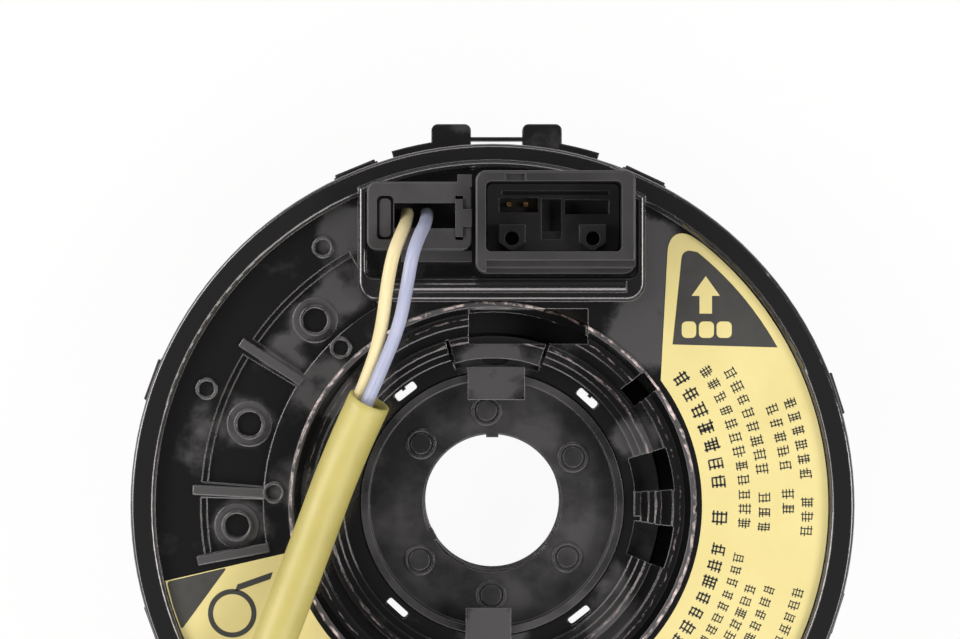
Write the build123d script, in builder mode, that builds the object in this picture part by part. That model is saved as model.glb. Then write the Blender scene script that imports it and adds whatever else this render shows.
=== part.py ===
from build123d import *
import os
from math import cos, pi, radians, sin, tan

# Steering clock spring: a rotor that turns with the steering wheel on a stator fixed to the column,
# joined by a ribbon cable wound in the chamber between them.
# Millimetres. Z is the steering shaft's axis, +Z towards the wheel, +Y the top of the wheel.
# The rear socket and the screw posts stand on z = 0.

# ---- Fits
running_gap = 0.4          # between rotor and stator, all round
fit_gap = 0.15             # between pieces that are pushed together

# ---- Heights, from the rear up
post_height = 10.0
cover_thickness = 1.8
chamber_height = 10.4
face_thickness = 2.4
rim_height = 2.0           # of the rim above the face
cover_z = post_height
cover_top_z = cover_z + cover_thickness
case_top_z = cover_top_z + chamber_height
face_under_z = case_top_z + running_gap
face_z = face_under_z + face_thickness
rim_top_z = face_z + rim_height

# ---- Rotor disc
rim_radius = 55.0
rim_width = 3.6
rim_inner = rim_radius - rim_width
skirt_wall = 1.6
skirt_depth = 5.4          # of the skirt below the case's top
skirt_z = case_top_z - skirt_depth
tube_outer = 31.0          # the inner wall of the ribbon chamber
tube_wall = 1.6
tube_inner = tube_outer - tube_wall
lip_width = 0.8
lip_height = 0.35
rim_round = 0.6

# Steps of the well, from the lip inwards: (width of the step, its depth below the face)
well_steps = [(0.9, 2.6), (1.7, 1.4), (1.7, 4.0), (0.9, 3.2), (1.0, 5.2), (1.1, 6.4)]
ledge_depth = 7.6
ledge_thickness = 1.6
ledge_z = face_z - ledge_depth
ledge_under_z = ledge_z - ledge_thickness
step_under_width = 3.65    # of the ledge's underside, before it steps up
step_under_rise = 2.0
collar_under_width = 2.6   # of the next step up
collar_under_rise = 4.0
lip_mark_angle, lip_mark_span = -3.2, 4.4
lip_mark_land = 0.25       # left between the mark's tip and the lip's inner side

# Openings in the well: slots seen right through, windows, and a square hole
hub_turn = -2.2            # the hub's marks stand this many degrees off the vertical
slot_length = 3.8
slot_width = 1.25
slot_corner = 0.4
slot_gap = 0.8             # from the ledge's inner edge
slot_angles = [hub_turn + angle for angle in (50, 130, 230, 310)]
window_first_angles = [4.8, -20.4]
window_span = 13.4
window_ledge_gap = 1.7     # from the ledge's inner edge to the windows
window_wall_gap = 1.6      # from the windows to the tube's inner wall
bridge_ridges = [(1.45, 1.0), (5.05, 1.3)]        # on the bridge between them: (from the ledge, width)
bridge_ridge_height = 1.9
bridge_half_width = 1.9
square_hole_width = 3.3
square_hole_length = 4.3
square_hole_gap = 0.9      # from its middle to the tube's inner wall
square_hole_angle = 38.3
cable_window_x = (-3.6, 14.5)
cable_window_length = 5.3
claw_first_angle, claw_span = 70.9, 34.6
claw_gap = 2.0             # from the ledge's inner edge
claw_width = 2.6
claw_height = 3.0
claw_groove_width = 0.9
claw_groove_depth = 1.0
claw_slit = 0.5
claw_slit_length = 4.6
key_window_x = 0.4
key_window_radii = (2.2, 1.1)
slot_nib_angles = [slot_angles[0], slot_angles[1]]
slot_nib_width, slot_nib_height = 0.6, 0.35
tongue_x = [(-3.8, 5.0), (-4.1, 2.9)]            # over the dish's rim: at the top, at the bottom
tongue_reach = 4.4         # from the ledge's inner edge into the dish
tongue_land = 0.2          # of the ledge left in front of their roots
tongue_root = 0.7          # from the ledge's inner edge to the back of their roots
tongue_thickness = 1.1

# Pockets, ribs and bosses on the left of the face
pocket_inner_gap = 3.9     # from the tube's outer wall
pocket_outer_gap = 7.0     # from the rim
pocket_depth = 1.1
pocket_ledge_width = 0.9
pocket_sectors = [(119.5, 25.7), (148.8, 26.6), (178.4, 11.3)]
rib_angles = [147.0, 177.0, 190.6]
rib_width = 1.3
rib_height = 0.45
rib_overlap = 0.3          # past the pocket's inner side
rib_reach = 1.2            # past the pocket's outer side
large_boss_radius, large_boss_height = 2.3, 0.9
large_boss_shift = 0.6     # inwards from the middle of the pockets
large_boss_angles = [133.8, 161.5, 184.6]
small_boss_radius, small_boss_height = 1.6, 0.5
outer_boss_gap = 4.4       # from the rim
outer_boss_angles = [123.3, 157.8]
inner_boss_gap = 2.3       # from the tube's outer wall
inner_boss_angles = [133.9, 176.6]
boss_wall = 0.35
pad_radius, pad_height = 3.4, 0.25        # soft round pad under each large boss
pocket_inner = tube_outer + pocket_inner_gap
pocket_outer = rim_inner - pocket_outer_gap

# ---- Connectors: their y counts from the lower side of the row they stand in
row_drop = 19.8            # of the row's lower side below the rotor's top
row_y = rim_radius - row_drop

# ---- Raised frame round the two connectors
frame_x = (-20.4, 23.2)
frame_low_y = -4.1
frame_margin = 2.5         # of its upper side, which follows the rim
frame_radius = rim_radius - frame_margin
frame_wall = 1.2
frame_height = 2.6
frame_corner = 2.8
frame_bar = 3.6            # width of its lower side, a rounded bar
frame_outer_round = 0.7
crown_x = (-16.0, 20.3)       # of the rounded crown along the bar
crown_width, crown_rise = 1.9, 0.5
frame_inner_round = 0.4

# ---- Switch socket, on the right
socket_area = (-2.6, 0.0, 21.4, 15.4)             # low x, low y, high x, high y
socket_cavity = (-1.0, 3.3, 19.3, 13.8)
socket_height = 13.0
socket_floor = 1.6
socket_corner = 1.6
socket_top_round = 0.4
cavity_corner = 0.8
socket_steps = [(0.9, 4.6), (2.0, 1.5)]           # along its lower wall: (reach, depth)
wall_notch = (1.9, 13.6, 4.9, 15.0)
wall_notch_depth = 0.7
holder_height = 3.4
guide_posts = [(2.9, 5.3), (15.1, 5.3)]
guide_post_outline = [(-2.0, 2.1), (2.0, 2.1), (2.0, -0.6), (0.3, -1.8), (-0.3, -1.8), (-2.0, -0.6)]
guide_post_height = 2.6
guide_hole_radius = 1.05
centre_slot = (7.4, 6.4, 10.4, 11.3)
centre_ledge = (7.4, 5.2, 10.4, 6.4)
centre_ledge_depth = 1.0
terminal_slots = [(1.0, 9.3, 6.9, 11.5), (10.9, 9.0, 17.6, 11.2)]
slot_line = (1.4, 12.0, 17.6, 12.5)
slot_line_depth = 0.8
holder_cut_floor = 1.1     # left under the slots and the guide holes
pin_side = 0.64
pin_rise = 1.2             # of the pins above their holder
pin_points = [(2.5, 10.5), (5.0, 10.5)]

# ---- Airbag connector, on the left
airbag_area = (-18.9, 3.5, -3.1, 13.8)
airbag_height = 9.4
airbag_corner = 1.5
airbag_top_round = 0.3
airbag_tab = (-5.3, 13.0, -3.1, 14.9)
airbag_tab_height = 3.0
airbag_shelf = (-13.8, 1.8, -3.1, 3.5)
airbag_shelf_drop = 3.6    # of the shelf's top below the holder's
wire_cavity = (-14.8, 6.8, -5.6, 10.6)
wire_cavity_depth = 7.4
latch_head = (-5.6, 5.5, -4.4, 11.2)
latch_stem = (-4.4, 7.0, -3.1, 9.7)
latch_notch = 0.45         # open above and below the latch's head
latch_depth = 3.0
latch_rise = 0.4
side_recess = (-17.4, 5.1, -14.9, 11.7)
side_recess_depth = 1.6
side_pad = (-17.0, 5.5, -15.3, 11.3)
side_pad_rise = 1.2        # above the recess's floor
side_corner = 0.7
crimp_side = 1.6
crimp_height = 2.4
crimp_points = [(-12.9, 9.1), (-9.9, 9.1)]

# ---- Label
label_thickness = 0.15
label_inner_gap = 0.9      # from the lip
label_outer_gap = 0.3      # from the rim
label_first_angle, label_span = -167.0, 242.0
label_edge_x = (25.0, 27.4)      # of its straight end, from the bottom up
label_edge_low_y = 19.6
label_corner = 2.6
label_inner = tube_outer + label_inner_gap
label_outer = rim_inner - label_outer_gap

# ---- Hub sleeve
bore_radius = 10.5
bore_top_radius = 10.7     # of the bore's top part, which carries the keys
nose_wall = 1.9
nose_shoulder = 1.0        # the cancelling cam seats against it
nose_z = 0.5
bore_top_depth = 3.0       # of the bore's top part, below the dish's floor
dish_floor_z = 14.2
dish_thickness = 1.6
dish_radius = 19.0
dish_rim_width = 1.2
dish_rim_height = 3.6
dish_rim_outer = dish_radius + dish_rim_width
ledge_inner = dish_rim_outer + fit_gap
sleeve_radius = 25.8
sleeve_wall = 1.6
flange_radius = 29.0
flange_thickness = 1.4
flange_z = cover_z - running_gap - flange_thickness
hub_mark_radius = 2.3
hub_mark_gap = 4.7         # from the dish's wall to the circle of the marks
hub_mark_height = 0.3
hub_mark_groove = (1.6, 1.9)      # its radii
hub_mark_angles = [29.5, 93.6, 140.4, 218.2, 269.3, 324.0]
key_angles = [90.0, 208.0, 328.0]
key_width = 1.9
key_height = 0.6

# ---- Turn-signal cancelling cam on the hub's nose
cam_wall = 2.4
cam_z = 1.6
cam_height = 5.0
cam_lobe_reach = 5.2
cam_lobe_width = 6.0
cam_lobe_round = 0.75
cam_bore_gap = 0.05

# ---- Stator case, back cover and screw posts
case_wall = 1.8
case_outer = rim_radius - skirt_wall - running_gap
case_inner = case_outer - case_wall
band_width = 1.6
band_outer = case_outer + band_width
band_gap = 0.5             # below the rotor's skirt
band_top_z = skirt_z - band_gap
ear_x = [(-9.4, -3.3), (4.6, 10.7)]
ear_reach = 3.4            # past the rotor's rim
ear_rise = 0.4             # of the ears' underside above the cover
ear_corner = 1.0
top_band_reach = 1.4       # past the rotor's rim
top_band_first_angle, top_band_span = 73.0, 33.0
top_bar_reach = 1.1        # of the thin bar between the ears, past the rim
top_bar_thickness = 0.6
clip_angles = [17.7, 65.0, 112.3, 160.0, 200.0, 247.7, 295.0, 342.3]
clip_span = 7.4
clip_thickness = 0.9
clip_window_span = 3.8     # degrees
clip_window_rise = 1.6     # of its lower edge above the cover
clip_window_height = 2.2
clip_lug_margin = 0.2      # degrees, on each side of a lug
cover_opening = sleeve_radius + running_gap
collar_wall = 1.2
collar_height = 2.0
collar_gap = 0.5           # round the flange
collar_outer = flange_radius + collar_gap + collar_wall
rear_rib_angles = [0, 22.5, 67.5, 90, 112.5, 157.5, 180, 202.5, 337.5]
rear_rib_width = 1.2
rear_rib_height = 1.0
rear_rib_margin = 4.0      # from their outer ends to the band
screw_circle_radius = 42.0
screw_posts = 4
screw_post_radius = 3.6
screw_hole_radius = 1.25
screw_hole_depth = 8.0

# ---- Rear socket for the car's harness
rear_x = (-23.0, 23.0)
rear_margin = 6.4          # from its lower side to the case's wall
rear_gap = 0.3             # from its upper side to the collar
rear_wall = 1.5
rear_corner = 1.4
rear_cavity_corner = 0.7
rear_divider_x = -6.0
rear_floor = 1.6
rear_pin_rise = 4.0
airbag_pins_x, airbag_pins_pitch = -14.1, 4.0
switch_pins_x, switch_pins_pitch, switch_pins_row_pitch = 8.1, 3.6, 4.4

# ---- Ribbon cable, its end clips and the slip sheets
slip_thickness = 0.2
ribbon_inner_gap = 3.0     # from the chamber's inner wall to the first turn
ribbon_outer_gap = 1.7     # from the last turn to the case
ribbon_thickness = 0.3
ribbon_half_turns = 16
ribbon_gap = 0.3           # above and below the ribbon
end_clip_span = 14.0       # degrees

# ---- Airbag lead: two wires in a sleeve, and the plug at its end
wire_diameter = 2.0
arc_share = 0.45           # of the shorter run beside a corner, taken by its arc
sleeve_diameter = 6.5
sleeve_bore = 5.5
yellow_place = (-1.3, -0.55)     # in the sleeve: (left of its middle, above it)
violet_place = (0.05, 1.1)
sleeve_route = [
    (-18.5, 16.1, 31.6), (-22.3, 8.2, 31.4), (-27.8, -6.8, 31.8), (-33.8, -22.6, 33.6),
    (-40.2, -39.5, 35.0), (-45.6, -54.0, 32.0), (-48.2, -67.0, 23.5), (-47.2, -79.0, 13.2),
    (-42.5, -90.5, 6.4), (-34.0, -100.0, 3.6), (-22.0, -106.0, 3.6), (-9.0, -108.0, 3.6),
]
yellow_start = [
    (-12.9, 44.3, 29.4), (-12.9, 44.3, 35.0), (-13.3, 42.9, 38.6), (-14.4, 39.4, 40.2),
    (-15.4, 34.4, 39.2), (-16.2, 28.4, 35.6), (-17.5, 21.6, 32.0),
]
violet_start = [
    (-9.9, 44.3, 29.4), (-9.9, 44.3, 35.2), (-10.4, 42.9, 39.0), (-11.4, 39.4, 40.8),
    (-12.3, 34.4, 40.0), (-13.5, 28.4, 37.0), (-15.8, 21.4, 33.6),
]
yellow_end = [(-6.5, -109.5, 3.2), (0.5, -109.8, 4.6), (6.0, -109.8, 4.6)]
violet_end = [(-6.5, -107.9, 4.9), (0.5, -106.2, 4.6), (6.0, -106.2, 4.6)]
plug_x = 6.0
plug_y = -108.0
plug_size = (20.0, 13.0, 9.2)      # along x, y and z
plug_corner = 1.2
plug_nose_length = 6.0
plug_nose_size = (10.0, 7.0)
plug_cavity_depth = 4.6
plug_nose_wall = 1.1
plug_terminal_side = 1.8
lock_slot_start = 2.0            # from the plug's rear face
lock_slot_length = 9.2
lock_slot_width = 5.0
lock_slot_depth = 2.4
lock_length = 6.4
lock_grip_length = 2.4
lock_grip_height = 1.0

os.makedirs("parts", exist_ok=True)


def at(radius, angle):
    """Point at a radius and an angle in degrees from +X."""
    return (radius * cos(radians(angle)), radius * sin(radians(angle)))


def ring_sector(inner, outer, first_angle, span):
    """A sector of a ring, for the sketch in hand."""
    with BuildLine() as outline:
        CenterArc((0, 0), inner, first_angle, span)
        CenterArc((0, 0), outer, first_angle, span)
        for angle in (first_angle, first_angle + span):
            Line(at(inner, angle), at(outer, angle))
    make_face(outline.edges())


def rectangle(low_x, low_y, high_x, high_y, corner=0.0):
    """A rectangle between two corners, rounded if asked, for the sketch in hand."""
    with Locations(((low_x + high_x) / 2, (low_y + high_y) / 2)):
        if corner:
            RectangleRounded(high_x - low_x, high_y - low_y, corner)
        else:
            Rectangle(high_x - low_x, high_y - low_y)


def frame_area(inset, low_y, corner):
    """The area within the frame round the connectors, as a face."""
    with BuildSketch(mode=Mode.PRIVATE) as area:
        Circle(frame_radius - inset)
        with Locations(((frame_x[0] + frame_x[1]) / 2, low_y + frame_radius / 2)):
            Rectangle(frame_x[1] - frame_x[0] - 2 * inset, frame_radius, mode=Mode.INTERSECT)
        fillet(area.vertices().group_by(Axis.Y)[0], corner)
    return area.sketch


def half_ring(inner, outer, first_angle):
    """Half of a ring, as a face."""
    with BuildSketch(mode=Mode.PRIVATE) as half:
        ring_sector(inner, outer, first_angle, 180)
    return half.sketch


def finish(builder, name):
    """Label a piece and write it."""
    builder.part.label = name
    export_step(builder.part, f"parts/{name}.step")


# ---- Rotor disc: rim, face, well and the raised frame round the connectors
lip_inner = tube_outer - lip_width
step_under_radius = ledge_inner + step_under_width
collar_under_radius = step_under_radius + collar_under_width
slot_circle = ledge_inner + slot_gap + slot_width / 2
well_profile = [(tube_outer, face_z), (tube_outer, face_z + lip_height), (lip_inner, face_z + lip_height)]
for width, depth in well_steps:
    outer = well_profile[-1][0]
    well_profile += [(outer, face_z - depth), (outer - width, face_z - depth)]
well_profile += [
    (well_profile[-1][0], ledge_z),
    (ledge_inner, ledge_z),
    (ledge_inner, ledge_under_z),
    (step_under_radius, ledge_under_z),
    (step_under_radius, ledge_under_z + step_under_rise),
    (collar_under_radius, ledge_under_z + step_under_rise),
    (collar_under_radius, ledge_under_z + collar_under_rise),
    (tube_inner, ledge_under_z + collar_under_rise),
    (tube_inner, cover_top_z + running_gap),
    (tube_outer, cover_top_z + running_gap),
    (tube_outer, face_under_z),
]
rim_profile = [
    (rim_radius - skirt_wall, face_under_z),
    (rim_radius - skirt_wall, skirt_z),
    (rim_radius, skirt_z),
    (rim_radius, rim_top_z),
    (rim_inner, rim_top_z),
    (rim_inner, face_z),
]
with BuildPart() as connector_frame:
    with BuildSketch(Plane.XY.offset(face_z)):
        add(frame_area(0, row_y + frame_low_y, frame_corner))
    extrude(amount=frame_height)
    fillet(connector_frame.edges().group_by(Axis.Z)[-1], frame_outer_round)
    with BuildSketch(Plane.XY.offset(face_z)):
        add(frame_area(frame_wall, row_y + frame_low_y + frame_bar, frame_wall))
    extrude(amount=frame_height, mode=Mode.SUBTRACT)
    fillet(connector_frame.faces().sort_by(Axis.Z)[-1].inner_wires()[0].edges(), frame_inner_round)
    # the crown stands along the bar's inner side
    bar_inner_y = row_y + frame_low_y + frame_bar
    crown_low_y, crown_high_y = bar_inner_y - frame_inner_round - crown_width, bar_inner_y - frame_inner_round
    with BuildSketch(Plane.YZ.offset(crown_x[0])):
        with BuildLine():
            ThreePointArc(
                (crown_low_y, face_z + frame_height),
                ((crown_low_y + crown_high_y) / 2, face_z + frame_height + crown_rise),
                (crown_high_y, face_z + frame_height),
            )
            Line((crown_low_y, face_z + frame_height), (crown_high_y, face_z + frame_height))
        make_face()
    extrude(amount=crown_x[1] - crown_x[0])

with BuildPart() as rotor_disc:
    with BuildSketch(Plane.XZ):
        with BuildLine():
            Polyline(*well_profile, *rim_profile, close=True)
        make_face()
    revolve(axis=Axis.Z)
    rim_edges = rotor_disc.edges().filter_by(GeomType.CIRCLE).group_by(Axis.Z)[-1]
    fillet(rim_edges, rim_round)
    # frame round the connectors, and room for both of them
    add(connector_frame.part)
    with BuildSketch(Plane.XY.offset(face_z)):
        with Locations((0, row_y)):
            for area, corner in ((socket_area, socket_corner), (airbag_area, airbag_corner)):
                low_x, low_y, high_x, high_y = area
                rectangle(low_x - fit_gap, low_y - fit_gap, high_x + fit_gap, high_y + fit_gap, corner)
    extrude(amount=frame_height, mode=Mode.SUBTRACT)
    # pockets with a ledge along their outer side
    with BuildSketch(Plane.XY.offset(face_z - pocket_depth)):
        for first_angle, span in pocket_sectors:
            ring_sector(pocket_inner, pocket_outer - pocket_ledge_width, first_angle, span)
    extrude(amount=pocket_depth, mode=Mode.SUBTRACT)
    with BuildSketch(Plane.XY.offset(face_z - pocket_depth / 2)):
        for first_angle, span in pocket_sectors:
            ring_sector(pocket_inner, pocket_outer, first_angle, span)
    extrude(amount=pocket_depth, mode=Mode.SUBTRACT)
    # ribs between the pockets
    rib_inner, rib_outer = pocket_inner - rib_overlap, pocket_outer + rib_reach
    with BuildSketch(Plane.XY.offset(face_z)):
        for angle in rib_angles:
            with Locations(Location(at((rib_inner + rib_outer) / 2, angle), angle)):
                Rectangle(rib_outer - rib_inner, rib_width)
    extrude(amount=rib_height)
    # bosses, each with a dimple, the large ones on pads
    large_boss_circle = (pocket_inner + pocket_outer) / 2 - large_boss_shift
    large_boss_points = [at(large_boss_circle, angle) for angle in large_boss_angles]
    small_boss_points = [at(rim_inner - outer_boss_gap, angle) for angle in outer_boss_angles]
    small_boss_points += [at(tube_outer + inner_boss_gap, angle) for angle in inner_boss_angles]
    with BuildSketch(Plane.XY.offset(face_z - pocket_depth)):
        with Locations(*large_boss_points):
            Circle(pad_radius)
    extrude(amount=pad_height)
    with BuildSketch(Plane.XY.offset(face_z - pocket_depth)):
        with Locations(*large_boss_points):
            Circle(large_boss_radius)
            Circle(large_boss_radius - boss_wall, mode=Mode.SUBTRACT)
    extrude(amount=large_boss_height)
    with BuildSketch(Plane.XY.offset(face_z)):
        with Locations(*small_boss_points):
            Circle(small_boss_radius)
            Circle(small_boss_radius - boss_wall, mode=Mode.SUBTRACT)
    extrude(amount=small_boss_height)
    # claw block beside the hub, with a window and a groove before it
    claw_inner = ledge_inner + claw_gap
    claw_ends = (claw_first_angle, claw_first_angle + claw_span)
    with BuildSketch(Plane.XY.offset(ledge_under_z)):
        with Locations((key_window_x, claw_inner)):
            Ellipse(*key_window_radii)
    extrude(amount=ledge_thickness, mode=Mode.SUBTRACT)
    with BuildSketch(Plane.XY.offset(ledge_z)):
        ring_sector(claw_inner, claw_inner + claw_width, claw_first_angle, claw_span)
    extrude(amount=claw_height)
    with BuildSketch(Plane.XY.offset(ledge_z)):
        ring_sector(claw_inner - claw_groove_width, claw_inner, claw_first_angle, claw_span)
    extrude(amount=-claw_groove_depth, mode=Mode.SUBTRACT)
    with BuildSketch(Plane.XY.offset(ledge_z)):
        slit_middle = claw_inner - claw_groove_width + claw_slit_length / 2
        with Locations(*[Location(at(slit_middle, angle), angle) for angle in claw_ends]):
            Rectangle(claw_slit_length, claw_slit)
    extrude(amount=face_z - ledge_z, mode=Mode.SUBTRACT)
    # tongues that reach over the dish's rim, and the ridges between the windows
    tongue_z = dish_floor_z + dish_rim_height + fit_gap
    for side, (low_x, high_x) in zip((1, -1), tongue_x):
        outer_y = side * (ledge_inner + tongue_root)
        root_y, tip_y = side * (ledge_inner + tongue_land), side * (ledge_inner - tongue_reach)
        with BuildSketch(Plane.XY.offset(ledge_z)):
            rectangle(low_x, min(root_y, outer_y), high_x, max(root_y, outer_y))
        extrude(amount=tongue_z - ledge_z)
        with BuildSketch(Plane.XY.offset(tongue_z)):
            rectangle(low_x, min(tip_y, outer_y), high_x, max(tip_y, outer_y))
        extrude(amount=tongue_thickness)
    with BuildSketch(Plane.XY.offset(ledge_z)):
        for from_ledge, width in bridge_ridges:
            first_x = ledge_inner + from_ledge
            rectangle(first_x, -bridge_half_width, first_x + width, bridge_half_width)
    extrude(amount=bridge_ridge_height)
    # every opening of the well, and the mark cut in its lip
    window_inner, window_outer = ledge_inner + window_ledge_gap, tube_inner - window_wall_gap
    cable_window_top = row_y + frame_low_y - frame_wall
    with BuildSketch(Plane.XY.offset(ledge_under_z)):
        with Locations(*[Location(at(slot_circle, angle), angle) for angle in slot_angles]):
            RectangleRounded(slot_width, slot_length, slot_corner)
        with Locations(Location(at(tube_inner - square_hole_gap, square_hole_angle), square_hole_angle)):
            Rectangle(square_hole_length, square_hole_width)
        for first_angle in window_first_angles:
            ring_sector(window_inner, window_outer, first_angle, window_span)
        rectangle(
            cable_window_x[0], cable_window_top - cable_window_length, cable_window_x[1], cable_window_top,
        )
    extrude(amount=rim_top_z - ledge_under_z, mode=Mode.SUBTRACT)
    nib_circle = slot_circle + (slot_width - slot_nib_height) / 2
    with BuildSketch(Plane.XY.offset(ledge_under_z)):
        with Locations(*[Location(at(nib_circle, angle), angle) for angle in slot_nib_angles]):
            Rectangle(slot_nib_height, slot_nib_width)
    extrude(amount=ledge_thickness)
    with BuildSketch(Plane.XY.offset(face_z)):
        with BuildLine():
            Polyline(
                at(tube_outer + lip_width, lip_mark_angle),
                at(tube_outer + lip_width, lip_mark_angle + lip_mark_span),
                at(lip_inner + lip_mark_land, lip_mark_angle + lip_mark_span / 2), close=True,
            )
        make_face()
    extrude(amount=lip_height, mode=Mode.SUBTRACT)
finish(rotor_disc, "rotor_disc")


# ---- Hub sleeve: bore, dish, and the flange that holds the rotor to the back cover
nose_outer = bore_radius + nose_wall
cam_top_z = cam_z + cam_height
dish_under_z = dish_floor_z - dish_thickness
hub_profile = [
    (bore_radius, nose_z),
    (nose_outer, nose_z),
    (nose_outer, cam_top_z),
    (nose_outer + nose_shoulder, cam_top_z),
    (nose_outer + nose_shoulder, dish_under_z),
    (sleeve_radius - sleeve_wall, dish_under_z),
    (sleeve_radius - sleeve_wall, flange_z),
    (flange_radius, flange_z),
    (flange_radius, flange_z + flange_thickness),
    (sleeve_radius, flange_z + flange_thickness),
    (sleeve_radius, ledge_under_z),
    (dish_rim_outer, ledge_under_z),
    (dish_rim_outer, dish_floor_z + dish_rim_height),
    (dish_radius, dish_floor_z + dish_rim_height),
    (dish_radius, dish_floor_z),
    (bore_top_radius, dish_floor_z),
    (bore_top_radius, dish_floor_z - bore_top_depth),
    (bore_radius, dish_floor_z - bore_top_depth),
]
with BuildPart() as hub_sleeve:
    with BuildSketch(Plane.XZ):
        with BuildLine():
            Polyline(*hub_profile, close=True)
        make_face()
    revolve(axis=Axis.Z)
    with BuildSketch(Plane.XY.offset(dish_floor_z)):
        with Locations(*[at(dish_radius - hub_mark_gap, angle) for angle in hub_mark_angles]):
            Circle(hub_mark_radius)
            Circle(hub_mark_groove[1], mode=Mode.SUBTRACT)
            Circle(hub_mark_groove[0])
    extrude(amount=hub_mark_height)
    with BuildSketch(Plane.XY.offset(dish_floor_z)):
        for angle in key_angles:
            with Locations(Location(at(bore_top_radius, angle), angle)):
                Rectangle(2 * key_height, key_width)
    extrude(amount=-bore_top_depth)
    with BuildSketch(Plane.XY.offset(flange_z)):
        with Locations(*[Location(at(slot_circle, angle), angle) for angle in slot_angles]):
            RectangleRounded(slot_width, slot_length, slot_corner)
    extrude(amount=ledge_under_z - flange_z, mode=Mode.SUBTRACT)
finish(hub_sleeve, "hub_sleeve")

# ---- Cancelling cam: a ring with two lobes, seated on the nose's shoulder
cam_outer = nose_outer + cam_wall
with BuildPart() as cancel_cam:
    with BuildSketch(Plane.XY.offset(cam_z)):
        Circle(cam_outer)
        Rectangle(2 * (cam_outer + cam_lobe_reach), cam_lobe_width)
        Circle(nose_outer + cam_bore_gap, mode=Mode.SUBTRACT)
    extrude(amount=cam_height)
    fillet(cancel_cam.edges().filter_by(Axis.Z), cam_lobe_round)
finish(cancel_cam, "cancel_cam")

# ---- Stator case: wall, band, ears and the lugs that the back cover clips over
ear_bottom_z = cover_top_z + ear_rise
clip_window_z = cover_top_z + clip_window_rise
with BuildPart() as stator_case:
    with BuildSketch(Plane.XZ):
        with BuildLine():
            Polyline(
                (case_inner, cover_top_z), (band_outer, cover_top_z), (band_outer, band_top_z),
                (case_outer, band_top_z), (case_outer, case_top_z), (case_inner, case_top_z),
                close=True,
            )
        make_face()
    revolve(axis=Axis.Z)
    with BuildSketch(Plane.XY.offset(ear_bottom_z)):
        ring_sector(case_outer, rim_radius + top_band_reach, top_band_first_angle, top_band_span)
    extrude(amount=band_top_z - ear_bottom_z)
    with BuildSketch(Plane.XY.offset(ear_bottom_z)):
        rectangle(ear_x[0][1], band_outer, ear_x[1][0], rim_radius + ear_reach)
    extrude(amount=band_top_z - ear_bottom_z, mode=Mode.SUBTRACT)
    with BuildSketch(Plane.XY.offset(ear_bottom_z)):
        for low_x, high_x in ear_x:
            rectangle(low_x, case_outer, high_x, rim_radius + ear_reach, ear_corner)
        with Locations(((ear_x[0][1] + ear_x[1][0]) / 2, rim_radius + top_bar_reach)):
            Rectangle(ear_x[1][0] - ear_x[0][1] + 2 * ear_corner, top_bar_thickness)
    extrude(amount=band_top_z - ear_bottom_z)
    lug_span = clip_window_span - 2 * clip_lug_margin
    with BuildSketch(Plane.XY.offset(clip_window_z + fit_gap)):
        for angle in clip_angles:
            ring_sector(case_outer, band_outer + clip_thickness, angle - lug_span / 2, lug_span)
    extrude(amount=clip_window_height - 2 * fit_gap)
finish(stator_case, "stator_case")

# ---- Back cover: plate, clips over the case's lugs, screw posts and a collar round the flange
clip_inner = band_outer + fit_gap
clip_outer = clip_inner + clip_thickness
with BuildPart() as back_cover:
    with BuildSketch(Plane.XY.offset(cover_z)):
        Circle(band_outer)
        for angle in clip_angles:
            ring_sector(case_outer, clip_outer, angle - clip_span / 2, clip_span)
        Circle(cover_opening, mode=Mode.SUBTRACT)
    extrude(amount=cover_thickness)
    with BuildSketch(Plane.XY.offset(cover_top_z)):
        for angle in clip_angles:
            ring_sector(clip_inner, clip_outer, angle - clip_span / 2, clip_span)
    extrude(amount=band_top_z - cover_top_z)
    with BuildSketch(Plane.XY.offset(clip_window_z)):
        for angle in clip_angles:
            ring_sector(case_outer, clip_outer + fit_gap, angle - clip_window_span / 2, clip_window_span)
    extrude(amount=clip_window_height, mode=Mode.SUBTRACT)
    with BuildSketch():
        with PolarLocations(screw_circle_radius, screw_posts, start_angle=45):
            Circle(screw_post_radius)
    extrude(amount=post_height)
    with BuildSketch():
        with PolarLocations(screw_circle_radius, screw_posts, start_angle=45):
            Circle(screw_hole_radius)
    extrude(amount=screw_hole_depth, mode=Mode.SUBTRACT)
    with BuildSketch(Plane.XY.offset(cover_z)):
        Circle(collar_outer)
        Circle(collar_outer - collar_wall, mode=Mode.SUBTRACT)
    extrude(amount=-collar_height)
    rib_first, rib_last = collar_outer - collar_wall / 2, band_outer - rear_rib_margin
    with BuildSketch(Plane.XY.offset(cover_z)):
        for angle in rear_rib_angles:
            with Locations(Location(at((rib_first + rib_last) / 2, angle), angle)):
                Rectangle(rib_last - rib_first, rear_rib_width)
    extrude(amount=-rear_rib_height)
finish(back_cover, "back_cover")

# ---- Rear socket for the car's harness, and its pins
rear_floor_z = post_height - rear_floor
rear_y = (rear_margin - case_outer, -collar_outer - rear_gap)
rear_mid_y = (rear_y[0] + rear_y[1]) / 2
with BuildPart() as harness_socket:
    with BuildSketch():
        rectangle(rear_x[0], rear_y[0], rear_x[1], rear_y[1], rear_corner)
    extrude(amount=post_height)
    with BuildSketch():
        for low_x, high_x in (
            (rear_x[0] + rear_wall, rear_divider_x - rear_wall / 2),
            (rear_divider_x + rear_wall / 2, rear_x[1] - rear_wall),
        ):
            rectangle(low_x, rear_y[0] + rear_wall, high_x, rear_y[1] - rear_wall, rear_cavity_corner)
    extrude(amount=rear_floor_z, mode=Mode.SUBTRACT)
finish(harness_socket, "harness_socket")

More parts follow.
